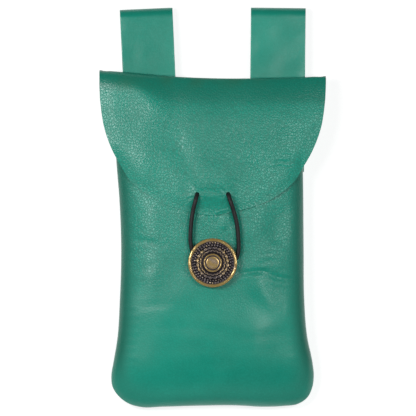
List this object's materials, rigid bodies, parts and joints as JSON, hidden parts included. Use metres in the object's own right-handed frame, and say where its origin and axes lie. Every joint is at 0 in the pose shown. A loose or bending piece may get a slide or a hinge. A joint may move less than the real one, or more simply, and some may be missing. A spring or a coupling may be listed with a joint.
{
  "type": "medieval belt pouch",
  "caption": "Turned and sewn leather belt pouch lying on its back, with a soft folded top, a wide rounded flap, an elastic loop over a cast button, and belt loops behind.",
  "frame": {"origin": "on the surface that the pouch lies on, under the middle of its overall box", "axes": "+Z out of the pouch's front, +Y from its bottom edge towards the belt loops, +X to the right seen from the front"},
  "size_m": [0.1144, 0.202, 0.0279],
  "materials": {
    "leather": "soft green leather, semi-matt with a fine pebble grain",
    "elastic": "black braided round elastic",
    "brass": "antique brass, dark in its recesses and worn bright on its rims"
  },
  "bodies": {
    "root": {"back_flap": "leather", "front_panel": "leather", "belt_loop_left": "leather", "belt_loop_right": "leather", "loop_cord": "elastic", "button": "brass"}
  },
  "joints": []
}
